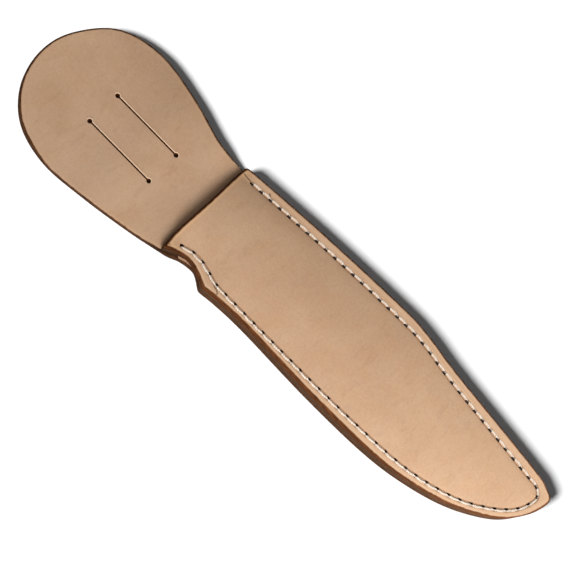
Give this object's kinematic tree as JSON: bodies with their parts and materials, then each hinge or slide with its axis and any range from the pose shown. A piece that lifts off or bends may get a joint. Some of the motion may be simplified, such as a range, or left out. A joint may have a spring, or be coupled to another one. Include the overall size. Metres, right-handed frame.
{
  "type": "leather knife sheath",
  "caption": "Stitched natural leather sheath for a fixed-blade knife, with a wide rounded belt tab cut with two parallel belt slits.",
  "frame": {"origin": "middle of the mouth, on the back face that rests against the wearer", "axes": "+X from the mouth to the tip, +Y towards the blade's spine, +Z out of the front panel"},
  "size_m": [0.3196, 0.0802, 0.0132],
  "materials": {
    "back_leather": "matte",
    "welt_leather": "matte",
    "front_leather": "matte",
    "waxed_thread": "satin"
  },
  "bodies": {
    "pocket": {"back_panel": "back_leather", "welt": "welt_leather", "front_panel": "front_leather", "front_thread": "waxed_thread", "back_thread": "waxed_thread"},
    "tab": {"belt_tab": "back_leather"}
  },
  "joints": [
    {"name": "tab_flex", "type": "hinge", "parent": "pocket", "child": "tab", "pos_m": [-0.008, 0, 0.0016], "axis": [0, 1, 0], "range_deg": [-30, 35], "stiffness_Nm_per_rad": 0.6}
  ]
}
